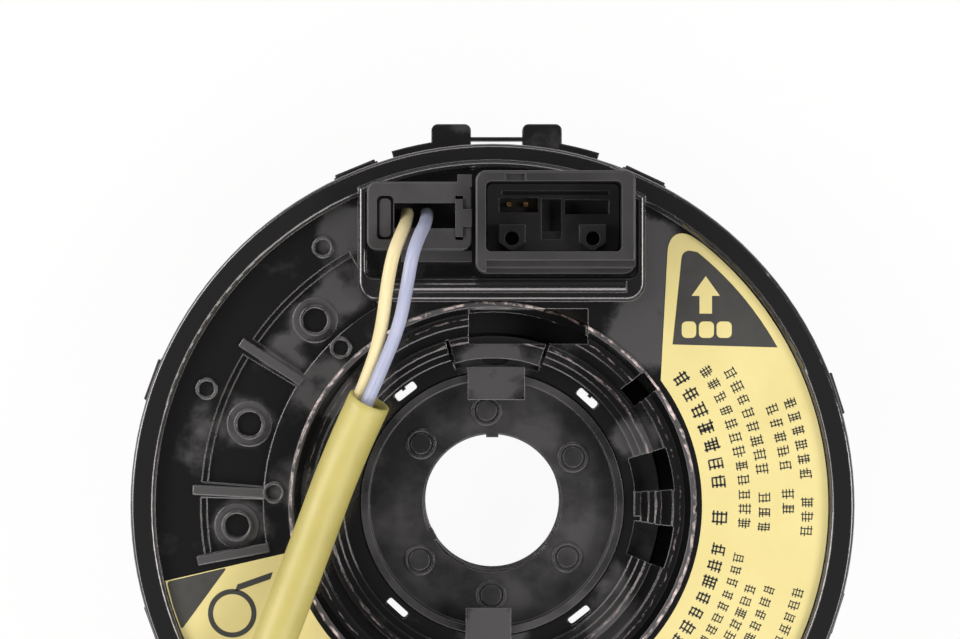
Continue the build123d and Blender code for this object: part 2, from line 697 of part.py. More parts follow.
with BuildPart() as harness_pins:
    with BuildSketch(Plane.XY.offset(rear_floor_z - rear_pin_rise)):
        with Locations((airbag_pins_x, rear_mid_y)):
            with GridLocations(airbag_pins_pitch, 0, 2, 1):
                Rectangle(pin_side, pin_side)
        with Locations((switch_pins_x, rear_mid_y)):
            with GridLocations(switch_pins_pitch, switch_pins_row_pitch, 6, 2):
                Rectangle(pin_side, pin_side)
    extrude(amount=rear_pin_rise)
finish(harness_pins, "harness_pins")

# ---- Ribbon cable: half turns about two centres, so that each runs smoothly into the next
front_slip_z = face_under_z - slip_thickness
rear_slip_top_z = cover_top_z + slip_thickness
ribbon_z = rear_slip_top_z + ribbon_gap
ribbon_width = front_slip_z - ribbon_gap - ribbon_z
ribbon_first_radius = tube_outer + ribbon_inner_gap
last_radius = case_inner - ribbon_outer_gap
ribbon_step = (last_radius - ribbon_thickness - ribbon_first_radius) / ribbon_half_turns
with BuildPart() as ribbon_cable:
    with BuildSketch(Plane.XY.offset(ribbon_z)):
        for half_turn in range(ribbon_half_turns):
            inner = ribbon_first_radius + half_turn * ribbon_step
            lower_half = half_turn % 2
            with Locations((lower_half * ribbon_step, 0)):
                add(half_ring(inner, inner + ribbon_thickness, 180 * lower_half))
    extrude(amount=ribbon_width)
finish(ribbon_cable, "ribbon_cable")

with BuildPart() as ribbon_inner_clip:
    with BuildSketch(Plane.XY.offset(rear_slip_top_z + running_gap)):
        ring_sector(tube_outer, ribbon_first_radius, 0, end_clip_span)
    extrude(amount=ribbon_width - ribbon_gap)
finish(ribbon_inner_clip, "ribbon_inner_clip")

with BuildPart() as ribbon_outer_clip:
    with BuildSketch(Plane.XY.offset(rear_slip_top_z)):
        ring_sector(last_radius, case_inner, -end_clip_span, end_clip_span)
    extrude(amount=ribbon_width)
finish(ribbon_outer_clip, "ribbon_outer_clip")

with BuildPart() as front_slip_sheet:
    with BuildSketch(Plane.XY.offset(front_slip_z)):
        Circle(case_inner - running_gap)
        Circle(tube_outer + fit_gap, mode=Mode.SUBTRACT)
    extrude(amount=slip_thickness)
finish(front_slip_sheet, "front_slip_sheet")

with BuildPart() as rear_slip_sheet:
    with BuildSketch(Plane.XY.offset(cover_top_z)):
        Circle(case_inner - fit_gap)
        Circle(tube_outer + running_gap, mode=Mode.SUBTRACT)
    extrude(amount=slip_thickness)
finish(rear_slip_sheet, "rear_slip_sheet")


# ---- Switch socket: shell with a stepped lower wall, the holder in its floor, and the pins
socket_top_z = face_z + socket_height
holder_z = face_z + socket_floor
holder_top_z = holder_z + holder_height
holder_cut_z = holder_z + holder_cut_floor
with BuildPart() as switch_socket:
    with BuildSketch(Plane.XY.offset(face_z)):
        with Locations((0, row_y)):
            rectangle(*socket_area, socket_corner)
    extrude(amount=socket_height)
    fillet(switch_socket.edges().group_by(Axis.Z)[-1], socket_top_round)
    for reach, depth in socket_steps:
        with BuildSketch(Plane.XY.offset(socket_top_z)):
            with Locations((0, row_y)):
                rectangle(socket_cavity[0], socket_area[1], socket_area[2], socket_area[1] + reach)
        extrude(amount=-depth, mode=Mode.SUBTRACT)
    with BuildSketch(Plane.XY.offset(socket_top_z)):
        with Locations((0, row_y)):
            rectangle(*wall_notch)
    extrude(amount=-wall_notch_depth, mode=Mode.SUBTRACT)
    with BuildSketch(Plane.XY.offset(holder_z)):
        with Locations((0, row_y)):
            rectangle(*socket_cavity, cavity_corner)
    extrude(amount=socket_height, mode=Mode.SUBTRACT)
finish(switch_socket, "switch_socket")

with BuildPart() as terminal_holder:
    with BuildSketch(Plane.XY.offset(holder_z)):
        with Locations((0, row_y)):
            low_x, low_y, high_x, high_y = socket_cavity
            rectangle(low_x + fit_gap, low_y + fit_gap, high_x - fit_gap, high_y - fit_gap, cavity_corner)
    extrude(amount=holder_height)
    with BuildSketch(Plane.XY.offset(holder_top_z)):
        with Locations((0, row_y)):
            with Locations(*guide_posts):
                Polygon(*guide_post_outline, align=None)
    extrude(amount=guide_post_height)
    with BuildSketch(Plane.XY.offset(holder_cut_z)):
        with Locations((0, row_y)):
            with Locations(*guide_posts):
                Circle(guide_hole_radius)
            rectangle(*centre_slot)
            for slot in terminal_slots:
                rectangle(*slot)
    extrude(amount=holder_height + guide_post_height, mode=Mode.SUBTRACT)
    for area, depth in ((centre_ledge, centre_ledge_depth), (slot_line, slot_line_depth)):
        with BuildSketch(Plane.XY.offset(holder_top_z)):
            with Locations((0, row_y)):
                rectangle(*area)
        extrude(amount=-depth, mode=Mode.SUBTRACT)
finish(terminal_holder, "terminal_holder")

with BuildPart() as switch_pins:
    with BuildSketch(Plane.XY.offset(holder_cut_z)):
        with Locations((0, row_y)):
            with Locations(*pin_points):
                Rectangle(pin_side, pin_side)
    extrude(amount=holder_top_z + pin_rise - holder_cut_z)
finish(switch_pins, "switch_pins")

# ---- Airbag connector: holder, latch and the two terminals that the wires are crimped in
airbag_top_z = face_z + airbag_height
cavity_floor_z = airbag_top_z - wire_cavity_depth
latch_z = airbag_top_z - latch_depth
side_floor_z = airbag_top_z - side_recess_depth
with BuildPart() as airbag_holder:
    with BuildSketch(Plane.XY.offset(face_z)):
        with Locations((0, row_y)):
            rectangle(*airbag_area, airbag_corner)
    extrude(amount=airbag_height)
    fillet(airbag_holder.edges().group_by(Axis.Z)[-1], airbag_top_round)
    with BuildSketch(Plane.XY.offset(airbag_top_z)):
        with Locations((0, row_y)):
            rectangle(*airbag_tab)
    extrude(amount=-airbag_tab_height)
    with BuildSketch(Plane.XY.offset(face_z)):
        with Locations((0, row_y)):
            rectangle(*airbag_shelf)
    extrude(amount=airbag_height - airbag_shelf_drop)
    with BuildSketch(Plane.XY.offset(side_floor_z)):
        with Locations((0, row_y)):
            rectangle(*side_recess, side_corner)
    extrude(amount=side_recess_depth, mode=Mode.SUBTRACT)
    with BuildSketch(Plane.XY.offset(side_floor_z)):
        with Locations((0, row_y)):
            rectangle(*side_pad, side_corner)
    extrude(amount=side_pad_rise)
    with BuildSketch(Plane.XY.offset(cavity_floor_z)):
        with Locations((0, row_y)):
            rectangle(*wire_cavity)
    extrude(amount=wire_cavity_depth, mode=Mode.SUBTRACT)
    with BuildSketch(Plane.XY.offset(latch_z)):
        with Locations((0, row_y)):
            low_x, low_y, high_x, high_y = latch_head
            rectangle(low_x, low_y - latch_notch, high_x, high_y + latch_notch)
            rectangle(*latch_stem)
    extrude(amount=latch_depth, mode=Mode.SUBTRACT)
finish(airbag_holder, "airbag_holder")

with BuildPart() as airbag_latch:
    with BuildSketch(Plane.XY.offset(latch_z)):
        with Locations((0, row_y)):
            rectangle(*latch_head)
            rectangle(*latch_stem)
    extrude(amount=latch_depth + latch_rise)
finish(airbag_latch, "airbag_latch")

with BuildPart() as lead_terminals:
    with BuildSketch(Plane.XY.offset(cavity_floor_z)):
        with Locations((0, row_y)):
            with Locations(*crimp_points):
                Rectangle(crimp_side, crimp_side)
    extrude(amount=crimp_height)
finish(lead_terminals, "lead_terminals")

# ---- Label: a sheet on the face, with one straight end beside the switch socket
with BuildPart() as label_sheet:
    with BuildSketch(Plane.XY.offset(face_z)) as label_sketch:
        ring_sector(label_inner, label_outer, label_first_angle, label_span)
        with BuildLine() as cut_off:
            Polyline(
                (label_edge_x[1], label_outer), (label_edge_x[0], label_edge_low_y),
                (0, label_edge_low_y), (0, label_outer), close=True,
            )
        make_face(mode=Mode.SUBTRACT)
        fillet(label_sketch.vertices().sort_by(Axis.Y)[-1], label_corner)
    extrude(amount=label_thickness)
finish(label_sheet, "label_sheet")


# ---- Airbag lead
def fillet_radii(route):
    """The largest radius for each corner of a route that leaves a straight bit of each run."""
    radii = []
    for before, corner, after in zip(route, route[1:], route[2:]):
        first_run = Vector(*corner) - Vector(*before)
        second_run = Vector(*after) - Vector(*corner)
        half_turn = radians(first_run.get_angle(second_run)) / 2
        radii.append(arc_share * min(first_run.length, second_run.length) / tan(half_turn))
    return radii


def beside(route, place):
    """The route's inner points, each moved sideways and up by a place in its cross-section."""
    left_by, up_by = place
    moved = []
    for before, corner, after in zip(route, route[1:], route[2:]):
        along = (Vector(*after) - Vector(*before)).normalized()
        left = Vector(0, 0, 1).cross(along).normalized()
        up = along.cross(left)
        point = Vector(*corner) + left * left_by + up * up_by
        moved.append((point.X, point.Y, point.Z))
    return moved


def cord(route, outer_radius, inner_radius, name):
    """A tube along a route, its radii and its volume against section times length printed."""
    radii = fillet_radii(route)
    with BuildPart() as tube:
        with BuildLine() as path:
            FilletPolyline(*route, radius=radii)
        with BuildSketch(Plane(origin=path.line @ 0, z_dir=path.line % 0)):
            Circle(outer_radius)
            if inner_radius:
                Circle(inner_radius, mode=Mode.SUBTRACT)
        sweep()
    length = sum(edge.length for edge in path.edges())
    ratio = tube.part.volume / (pi * (outer_radius**2 - inner_radius**2) * length)
    print(name, "length", round(length, 1), "volume ratio", round(ratio, 4))
    print("  radii in diameters", [round(radius / 2 / outer_radius, 1) for radius in radii])
    finish(tube, name)
    return tube


wire_radius = wire_diameter / 2
yellow_route = yellow_start + beside(sleeve_route, yellow_place) + yellow_end
violet_route = violet_start + beside(sleeve_route, violet_place) + violet_end
wire_yellow = cord(yellow_route, wire_radius, 0, "wire_yellow")
wire_violet = cord(violet_route, wire_radius, 0, "wire_violet")
lead_sleeve = cord(sleeve_route, sleeve_diameter / 2, sleeve_bore / 2, "lead_sleeve")

# ---- Plug at the lead's end, lying on its side
plug_length, plug_width, plug_thickness = plug_size
plug_mid_z = plug_thickness / 2
nose_x = plug_x + plug_length
nose_end_x = nose_x + plug_nose_length
plug_floor_x = nose_end_x - plug_cavity_depth
wire_exits = [(end[-1][1], end[-1][2]) for end in (yellow_end, violet_end)]
lock_slot_x = plug_x + lock_slot_start
lock_slot_z = plug_thickness - lock_slot_depth
with BuildPart() as plug_shell:
    with BuildSketch(Plane.YZ.offset(plug_x)):
        with Locations((plug_y, plug_mid_z)):
            RectangleRounded(plug_width, plug_thickness, plug_corner)
    extrude(amount=plug_length)
    with BuildSketch(Plane.YZ.offset(nose_x)):
        with Locations((plug_y, plug_mid_z)):
            RectangleRounded(*plug_nose_size, plug_corner)
    extrude(amount=plug_nose_length)
    with BuildSketch(Plane.YZ.offset(plug_floor_x)):
        with Locations((plug_y, plug_mid_z)):
            Rectangle(plug_nose_size[0] - 2 * plug_nose_wall, plug_nose_size[1] - 2 * plug_nose_wall)
    extrude(amount=plug_cavity_depth, mode=Mode.SUBTRACT)
    with BuildSketch(Plane.YZ.offset(plug_x)):
        with Locations(*wire_exits):
            Rectangle(plug_terminal_side, plug_terminal_side)
    extrude(amount=plug_floor_x - plug_x, mode=Mode.SUBTRACT)
    with BuildSketch(Plane.XY.offset(lock_slot_z)):
        with Locations((lock_slot_x + lock_slot_length / 2, plug_y)):
            Rectangle(lock_slot_length, lock_slot_width)
    extrude(amount=lock_slot_depth, mode=Mode.SUBTRACT)
finish(plug_shell, "plug_shell")

with BuildPart() as plug_terminals:
    with BuildSketch(Plane.YZ.offset(plug_x)):
        with Locations(*wire_exits):
            Rectangle(plug_terminal_side, plug_terminal_side)
    extrude(amount=plug_floor_x - plug_x)
finish(plug_terminals, "plug_terminals")

# The lock slides towards the nose by the slot's length less its own and a gap at each end
with BuildPart() as plug_lock:
    with BuildSketch(Plane.XY.offset(lock_slot_z + fit_gap)):
        with Locations((lock_slot_x + fit_gap + lock_length / 2, plug_y)):
            Rectangle(lock_length, lock_slot_width - 2 * fit_gap)
    extrude(amount=lock_slot_depth - fit_gap)
    with BuildSketch(Plane.XY.offset(plug_thickness)):
        with Locations((lock_slot_x + fit_gap + lock_grip_length / 2, plug_y)):
            Rectangle(lock_grip_length, lock_slot_width - 2 * fit_gap)
    extrude(amount=lock_grip_height)
finish(plug_lock, "plug_lock")
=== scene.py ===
# %% [markdown]
# # A steering clock spring
# A clock spring sits behind a steering wheel. Its rotor turns with the wheel, its stator stays on the
# column, and a ribbon cable wound between them carries the airbag's and the switches' current.
# The solid parts arrive as a fixed frame in metres, with +Z along the steering shaft. This lesson
# dresses them: cords first, then the printed label, then a finish for every piece, then the light.

# %% The frame
import random
from math import cos, degrees, radians, sin

import bmesh
import bpy
from mathutils import Matrix, Vector


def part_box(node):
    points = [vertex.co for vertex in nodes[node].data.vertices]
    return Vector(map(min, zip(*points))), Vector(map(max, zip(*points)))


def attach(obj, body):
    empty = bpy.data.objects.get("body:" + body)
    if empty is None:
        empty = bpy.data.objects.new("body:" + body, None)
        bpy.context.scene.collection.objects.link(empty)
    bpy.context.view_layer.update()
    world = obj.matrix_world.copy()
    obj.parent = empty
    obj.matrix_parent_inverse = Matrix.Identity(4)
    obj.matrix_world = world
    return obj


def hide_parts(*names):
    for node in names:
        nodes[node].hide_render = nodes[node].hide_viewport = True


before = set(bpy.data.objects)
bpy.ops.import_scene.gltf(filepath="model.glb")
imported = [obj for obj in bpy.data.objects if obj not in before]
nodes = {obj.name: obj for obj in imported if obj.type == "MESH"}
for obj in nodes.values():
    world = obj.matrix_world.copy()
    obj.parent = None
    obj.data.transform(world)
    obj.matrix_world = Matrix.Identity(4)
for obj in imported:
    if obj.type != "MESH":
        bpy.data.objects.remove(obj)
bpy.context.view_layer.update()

scene = bpy.context.scene
mm = 0.001
print("frame loaded:", len(nodes), "pieces")


# %% [markdown]
# ## The camera
# The unit is seen from straight above, a little towards the connectors, so that every wall leans
# away from that point. The picture is 145.7 mm wide at the height of the rotor's rim, so the lens
# follows from the camera's height above the rim and the width of the sensor.

# %% Camera
rim_level = 27.0 * mm
camera_rise = 0.72
camera_x, camera_y = -1.9 * mm, 28.3 * mm
view_width = 145.7 * mm
sensor_width = 36.0
camera_data = bpy.data.cameras.new("camera")
camera_data.sensor_width = sensor_width
camera_data.lens = sensor_width * camera_rise / view_width
camera_data.clip_start = 0.05
camera = bpy.data.objects.new("camera", camera_data)
camera.location = (camera_x, camera_y, rim_level + camera_rise)
scene.collection.objects.link(camera)
scene.camera = camera
print("camera:", round(camera_data.lens, 1), "mm lens")


# %% [markdown]
# ## The airbag lead
# Two thin wires rise out of the airbag connector, bend over and run into a soft vinyl sleeve that
# lies across the disc, drops off its edge and ends in a plug on the table. A swept mesh would need
# its own rings; one smooth curve with a round bevel is simpler and stays editable. Each curve is a
# NURBS spline through given control points, and its order is set after the points exist.
# Each wire keeps one place in the sleeve's cross-section, so its points there are the sleeve's
# points moved to the left and up in that section.

# %% The lead's routes, in millimetres
sleeve_route = [
    (-18.5, 16.1, 33.8), (-22.3, 8.2, 31.6), (-27.8, -6.8, 31.8), (-33.8, -22.6, 33.6),
    (-40.2, -39.5, 35.0), (-45.6, -54.0, 32.0), (-48.2, -67.0, 23.5), (-47.2, -79.0, 13.2),
    (-42.5, -90.5, 6.4), (-34.0, -100.0, 3.6), (-22.0, -106.0, 3.6), (-9.0, -108.0, 3.6),
]
yellow_start = [
    (-12.9, 44.3, 29.4), (-13.0, 42.9, 32.6), (-13.6, 41.3, 36.9), (-14.9, 38.0, 39.2),
    (-15.8, 33.2, 38.8), (-16.5, 27.6, 36.4), (-18.0, 21.6, 34.2),
]
violet_start = [
    (-9.9, 44.3, 29.4), (-10.0, 42.9, 32.8), (-10.8, 41.3, 37.2), (-12.0, 38.0, 39.8),
    (-12.8, 33.2, 39.6), (-13.9, 27.6, 37.6), (-16.3, 21.6, 35.6),
]
yellow_end = [(-6.5, -109.5, 3.2), (0.5, -109.8, 4.6), (6.0, -109.8, 4.6)]
violet_end = [(-6.5, -107.9, 4.9), (0.5, -106.2, 4.6), (6.0, -106.2, 4.6)]
yellow_place, violet_place = (-1.3, -0.55), (0.05, 1.1)


def beside(route, place):
    """The route's inner points, each moved left and up by a place in its cross-section."""
    left_by, up_by = place
    moved = []
    for before, corner, after in zip(route, route[1:], route[2:]):
        along = (Vector(after) - Vector(before)).normalized()
        left = Vector((0, 0, 1)).cross(along).normalized()
        moved.append(tuple(Vector(corner) + left * left_by + along.cross(left) * up_by))
    return moved


yellow_route = yellow_start + beside(sleeve_route, yellow_place) + yellow_end
violet_route = violet_start + beside(sleeve_route, violet_place) + violet_end
print("routes of", len(yellow_route), len(violet_route), "and", len(sleeve_route), "points")


# %% Curves of the lead
wire_diameter, sleeve_diameter, sleeve_bore = 2.0, 6.5, 5.5


def round_cord(name, route, diameter, capped):
    """One NURBS spline with a round section, from a route in millimetres."""
    data = bpy.data.curves.new(name, "CURVE")
    data.dimensions = "3D"
    spline = data.splines.new("NURBS")
    spline.points.add(len(route) - 1)
    for point, place in zip(spline.points, route):
        point.co = (*[value * mm for value in place], 1.0)
        point.radius = diameter * mm / 2
    spline.order_u = 3
    spline.use_endpoint_u = True
    spline.resolution_u = 12
    data.bevel_depth = 1.0
    data.bevel_resolution = 8
    data.use_fill_caps = capped
    piece = bpy.data.objects.new(name, data)
    scene.collection.objects.link(piece)
    return piece


yellow_wire = round_cord("yellow_wire", yellow_route, wire_diameter, True)
violet_wire = round_cord("violet_wire", violet_route, wire_diameter, True)
sleeve = round_cord("sleeve", sleeve_route, sleeve_diameter, False)
sleeve_wall = sleeve.modifiers.new("wall", "SOLIDIFY")
sleeve_wall.thickness = (sleeve_diameter - sleeve_bore) / 2 * mm
sleeve_wall.offset = -1.0
lead = [
    (yellow_wire, "wire_yellow", "yellow_insulation", yellow_route, 0.2160, wire_diameter),
    (violet_wire, "wire_violet", "violet_insulation", violet_route, 0.2146, wire_diameter),
    (sleeve, "lead_sleeve", "sleeve_vinyl", sleeve_route, 0.1601, sleeve_diameter),
]
for piece, node, slot, route, length, diameter in lead:
    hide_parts(node)
    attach(piece, "rotor")
print("lead curves:", [piece.name for piece, *_ in lead])


# %% [markdown]
# ## Moulded plastic
# On the rotor, pinkish glints are also painted into the colour: painted highlights in thin rings round
# the shaft.
# Most of the unit is black thermoplastic straight from the tool. Three things make it read as
# moulded and not as paint: edges that catch light because they are slightly rounded, a faint
# orange-peel bump, and gloss that changes from place to place where the melt cooled unevenly.
# The Bevel node rounds the edges in the shader, so the mesh stays light. A node group is not
# needed: one function builds the same small node tree with other numbers. The lengths given to a
# finish are in millimetres; Blender's own are in metres.

# %% Helper: node trees
def shader(name):
    """A new material, its node tree and its Principled node."""
    material = bpy.data.materials.new(name)
    material.use_nodes = True
    tree = material.node_tree
    return material, tree, tree.nodes["Principled BSDF"]


def node(tree, kind, **settings):
    """A node with its properties and its unlinked inputs set."""
    made = tree.nodes.new(kind)
    for key, value in settings.items():
        if hasattr(made, key):
            setattr(made, key, value)
        else:
            made.inputs[key.replace("_", " ")].default_value = value
    return made


def place_in_frame(tree):
    """The point being shaded, in metres from the frame's origin."""
    return node(tree, "ShaderNodeTexCoord").outputs["Object"]


def noise(tree, scale, detail=3.0, stretch=(1, 1, 1), harsh=0.5):
    """Noise on Object coordinates; scale counts features per metre, harsh weighs its fine detail."""
    mapping = node(tree, "ShaderNodeMapping", Scale=stretch)
    texture = node(tree, "ShaderNodeTexNoise", Scale=scale, Detail=detail, Roughness=harsh)
    tree.links.new(place_in_frame(tree), mapping.inputs["Vector"])
    tree.links.new(mapping.outputs["Vector"], texture.inputs["Vector"])
    return texture.outputs["Fac"]


def four_numbers(value):
    """A colour or a grey as red, green, blue and a full alpha."""
    return (*value, 1) if isinstance(value, tuple) else (value, value, value, 1)


def ramp(tree, source, stops):
    """A colour ramp over a value: stops are (position, colour or grey)."""
    made = tree.nodes.new("ShaderNodeValToRGB")
    elements = made.color_ramp.elements
    while len(elements) < len(stops):
        elements.new(0.5)
    for element, (position, value) in zip(elements, stops):
        element.position = position
        element.color = four_numbers(value)
    tree.links.new(source, made.inputs["Fac"])
    return made.outputs["Color"]


def drift(tree, source, ends):
    """A slow drift between two colours or greys, over the range where noise mostly lies."""
    low, high = ends
    return ramp(tree, source, [(0.3, low), (0.7, high)])


def rounded(tree, radius):
    """A normal that turns over every edge as if the edge had this radius."""
    return node(tree, "ShaderNodeBevel", samples=8, Radius=radius * mm).outputs["Normal"]


def bumped(tree, source, strength, depth, under=None):
    """A normal tilted by a value as if it were a relief of this depth, over another normal or none."""
    bump = node(tree, "ShaderNodeBump", Strength=strength, Distance=depth * mm)
    tree.links.new(source, bump.inputs["Height"])
    if under is not None:
        tree.links.new(under, bump.inputs["Normal"])
    return bump.outputs["Normal"]


print("node helpers ready")


# %% Helper: shares of a finish
def falling(tree, value, full, none, most):
    """A value turned into a share: most at full, nothing at none."""
    share = node(tree, "ShaderNodeMapRange", interpolation_type="SMOOTHSTEP")
    for socket, number in (("From Min", none), ("From Max", full), ("To Min", 0.0), ("To Max", most)):
        share.inputs[socket].default_value = number
    tree.links.new(value, share.inputs["Value"])
    return share.outputs["Result"]


def total(tree, shares):
    """The sum of several shares."""
    result = shares[0]
    for share in shares[1:]:
        plus = node(tree, "ShaderNodeMath", operation="ADD")
        tree.links.new(result, plus.inputs[0])
        tree.links.new(share, plus.inputs[1])
        result = plus.outputs["Value"]
    return result


def height(tree):
    """The height above the frame's origin, in metres."""
    parts = node(tree, "ShaderNodeSeparateXYZ")
    tree.links.new(place_in_frame(tree), parts.inputs["Vector"])
    return parts.outputs["Z"]


def off_axis(tree):
    """The distance from the shaft's axis, in metres."""
    level = node(tree, "ShaderNodeVectorMath", operation="MULTIPLY")
    tree.links.new(place_in_frame(tree), level.inputs[0])
    level.inputs[1].default_value = (1, 1, 0)
    reach = node(tree, "ShaderNodeVectorMath", operation="LENGTH")
    tree.links.new(level.outputs["Vector"], reach.inputs[0])
    return reach.outputs["Value"]


def spot(tree, x, y, z, radius, most):
    """A share that is highest round one place and gone at a radius from it."""
    full_within = 0.3
    reach = node(tree, "ShaderNodeVectorMath", operation="DISTANCE")
    tree.links.new(place_in_frame(tree), reach.inputs[0])
    reach.inputs[1].default_value = (x * mm, y * mm, z * mm)
    return falling(tree, reach.outputs["Value"], radius * mm * full_within, radius * mm, most)


def mixed(tree, share, first, second):
    """An output and a second value mixed by a share; the second is an output, a colour or a grey."""
    made = node(tree, "ShaderNodeMix", data_type="RGBA")
    first_colour, second_colour, mixed_colour = made.inputs[6], made.inputs[7], made.outputs[2]
    tree.links.new(share, made.inputs["Factor"])
    tree.links.new(first, first_colour)
    if isinstance(second, bpy.types.NodeSocket):
        tree.links.new(second, second_colour)
    else:
        second_colour.default_value = four_numbers(second)
    return mixed_colour


print("share helpers ready")


# %% Helper: moulded plastic
# The colour of the painted glints: pinkish highlights painted where the well's lip and steps would catch
# a lamp.
glint_pink = (0.70, 0.58, 0.56)


def painted_glint_ring(tree, shade, radius, half_width, share):
    """Painted glints over a shade: pinkish highlight streaks in a thin ring round the shaft, whose
    radius wanders a little.
    """
    wander = 1.2
    wobble = node(tree, "ShaderNodeMath", operation="MULTIPLY_ADD")
    tree.links.new(noise(tree, 300, 3), wobble.inputs[0])
    wobble.inputs[1].default_value = wander * mm
    tree.links.new(off_axis(tree), wobble.inputs[2])
    ring = node(tree, "ShaderNodeMath", operation="COMPARE")
    tree.links.new(wobble.outputs["Value"], ring.inputs[0])
    ring.inputs[1].default_value = (radius + wander / 2) * mm
    ring.inputs[2].default_value = half_width * mm
    streak_noise = noise(tree, 230 + 10 * radius, 5, (1, 1, 0.2), 0.7)
    streaks = ramp(tree, streak_noise, [(0.44, 0.0), (0.62, share)])
    # The painted highlights: the streaks that fall inside the ring.
    marks = node(tree, "ShaderNodeMath", operation="MULTIPLY")
    tree.links.new(ring.outputs["Value"], marks.inputs[0])
    tree.links.new(streaks, marks.inputs[1])
    return mixed(tree, marks.outputs["Value"], shade, glint_pink)


def moulded(name, dark, light, gloss, edge=0.2, patch=60, level=0.55, spread=0.04, grain=0.05,
            swell=0.06, shine=0.5, index=1.5, spots=(), heights=(), painted_glints=()):
    """Moulded plastic in two finishes, dark and shiny or light and dull, in patches.

    gloss is the two roughnesses, edge the radius of its edges, patch the patches per metre, and level
    and spread say where in the noise one finish turns into the other. swell and grain are the depths
    of the slow waves and of the fine skin. spots are duller places, (x, y, z, radius, share). heights
    are (full, none, share): above full the finish is one even mix. painted_glints are (radius, half
    width, share) of rings round the shaft with painted highlights: pinkish streaks in the colour.
    """
    material, tree, surface = shader(name)
    surface.inputs["Specular IOR Level"].default_value = shine
    surface.inputs["IOR"].default_value = index
    patches = total(tree, [noise(tree, patch, 5, harsh=0.6)] + [spot(tree, *place) for place in spots])
    for full, none, share in heights:
        above = falling(tree, height(tree), full * mm, none * mm, 1.0)
        patches = mixed(tree, above, patches, level + spread * (2 * share - 1))
    shade = ramp(tree, patches, [(level - spread, dark), (level + spread, light)])
    rough = ramp(tree, patches, [(level - spread, gloss[0]), (level + spread, gloss[1])])
    # Painted highlights: each ring adds pinkish glint streaks to the base colour.
    for ring in painted_glints:
        shade = painted_glint_ring(tree, shade, *ring)
    tree.links.new(shade, surface.inputs["Base Color"])
    tree.links.new(rough, surface.inputs["Roughness"])
    waves = bumped(tree, noise(tree, 110, 2), 0.5, swell, rounded(tree, edge))
    skin = bumped(tree, noise(tree, 2600, 2), 0.3, grain, waves)
    tree.links.new(skin, surface.inputs["Normal"])
    return material


print("moulded plastic ready")


# %% Black plastics
grey_black = (0.022, 0.022, 0.023)
boss_places = [(-27.2, 28.4), (-37.1, 12.4), (-38.8, -2.8)]
dull_places = [
    (-22.8, 41.9, 25, 6.5, 0.30), (-22.3, 34.0, 24, 6.0, 0.30),
    (-32.1, 23.1, 24, 4.5, 0.22), (-26.3, 18.0, 25, 7.5, 0.34), (-30.0, 4.0, 25, 6.5, 0.30),
    (-46.0, 10.0, 25, 8.0, 0.12), (25.0, 27.5, 25, 11.0, 0.45), (24.0, 38.0, 25, 9.0, 0.40),
    (0.0, 20.0, 19, 9.0, 0.34), (0.0, -20.0, 19, 8.0, 0.34), (22.4, 10.5, 19, 6.5, 0.40),
    (17.0, -16.0, 19, 10.0, 0.22), (-20.0, 14.0, 19, 10.0, 0.20), (12.0, 24.0, 19, 8.0, 0.20),
]
# Round each boss the face is dull; the middle of the boss has a share below zero, so it shines.
dull_places += [(x, y, 24, 5.6, 0.32) for x, y in boss_places]
dull_places += [(x, y, 24, 2.6, -0.7) for x, y in boss_places]
rotor_black = moulded(
    "rotor black", (0.009, 0.009, 0.0095), (0.026, 0.026, 0.027), (0.13, 0.42), 0.24,
    patch=95, level=0.70, spread=0.09, swell=0.09, shine=1.0, index=1.62, spots=dull_places,
    heights=[(25.3, 25.1, 1.0), (25.9, 25.6, 0.2)],
    # Painted glints on the well's lip and on two of its steps, where their edges would catch a lamp.
    painted_glints=[(30.8, 0.2, 1.0), (28.5, 0.1, 0.3), (25.1, 0.12, 0.3)],
)
hub_black = moulded(
    "hub black", (0.015, 0.015, 0.016), (0.028, 0.028, 0.029), (0.24, 0.46), 0.26,
    level=0.48, spread=0.1, shine=0.9,
)
socket_black = moulded(
    "socket black", (0.024, 0.024, 0.025), (0.034, 0.034, 0.035), (0.34, 0.50), 0.22,
    spread=0.15, shine=0.6,
)
holder_black = moulded(
    "holder black", (0.016, 0.016, 0.017), grey_black, (0.32, 0.46), 0.16, spread=0.12,
)
latch_black = moulded(
    "latch black", (0.042, 0.042, 0.043), (0.066, 0.066, 0.068), (0.34, 0.46), 0.16, spread=0.15,
)
stator_black = moulded(
    "stator black", (0.014, 0.014, 0.015), (0.026, 0.026, 0.027), (0.18, 0.42), 0.3, shine=0.8,
)
cover_black = moulded(
    "cover black", (0.018, 0.018, 0.019), grey_black, (0.44, 0.58), 0.2, spread=0.15, grain=0.09,
)
print("black plastics made")


# %% [markdown]
# ## Other finishes
# The cancelling cam and the ribbon's clips are undyed acetal, the slip sheets are thin dark film,
# and the ribbon is a brown laminate. The pins are gold-flashed and the crimps tinned copper alloy.
# The wires' insulation is smooth vinyl; the sleeve is softer and lets some light through, which a
# little subsurface scattering gives. The plug is a yellow moulding, as airbag plugs are.

# %% Other moulded finishes
acetal = moulded(
    "natural acetal", (0.62, 0.58, 0.47), (0.74, 0.71, 0.60), (0.35, 0.5), spread=0.15,
)
film = moulded(
    "slip film", (0.012, 0.011, 0.010), (0.020, 0.018, 0.016), (0.2, 0.35), 0.05, grain=0.01,
)
plug_yellow = moulded(
    "plug yellow", (0.70, 0.47, 0.03), (0.80, 0.57, 0.05), (0.28, 0.4), spread=0.15,
)
lock_white = moulded(
    "lock white", (0.66, 0.66, 0.62), (0.76, 0.76, 0.72), (0.3, 0.42), spread=0.15,
)
laminate = moulded(
    "ribbon laminate", (0.24, 0.12, 0.035), (0.34, 0.19, 0.06), (0.2, 0.3), 0.05, spread=0.15,
    grain=0.01,
)
print("other mouldings made")


